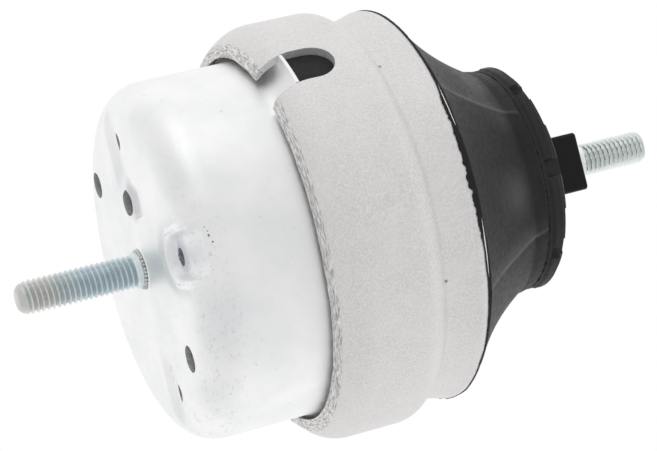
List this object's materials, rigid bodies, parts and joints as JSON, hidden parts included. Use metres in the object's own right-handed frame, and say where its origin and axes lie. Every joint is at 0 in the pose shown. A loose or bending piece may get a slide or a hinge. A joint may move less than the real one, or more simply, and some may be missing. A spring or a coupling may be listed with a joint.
{
  "type": "hydraulic engine mount",
  "caption": "Round fluid-filled mount: drawn cup with a stud, crimped sleeve with a V neck, rubber cone with a notched cap, square key and upper stud.",
  "frame": {"origin": "centre of the cup's flat base", "axes": "+Z along the axis from the lower stud to the upper stud; +Y towards the locating dimple"},
  "size_m": [0.0986, 0.0986, 0.1594],
  "materials": {
    "sleeve": "fine blasted grain",
    "cup": "bright satin, faint scuffs",
    "plate": "as cast",
    "stud": "bluish zinc plating",
    "core": "black dip coating",
    "rubber": "moulded, chalky bloom"
  },
  "bodies": {
    "root": {"outer_sleeve": "sleeve", "lower_cup": "cup", "lower_stud": "stud", "rubber_spring": "rubber", "core": "core", "upper_stud": "stud", "upper_nozzle_plate": "plate", "lower_nozzle_plate": "plate", "decoupler_membrane": "rubber", "bellows": "rubber"}
  },
  "joints": []
}
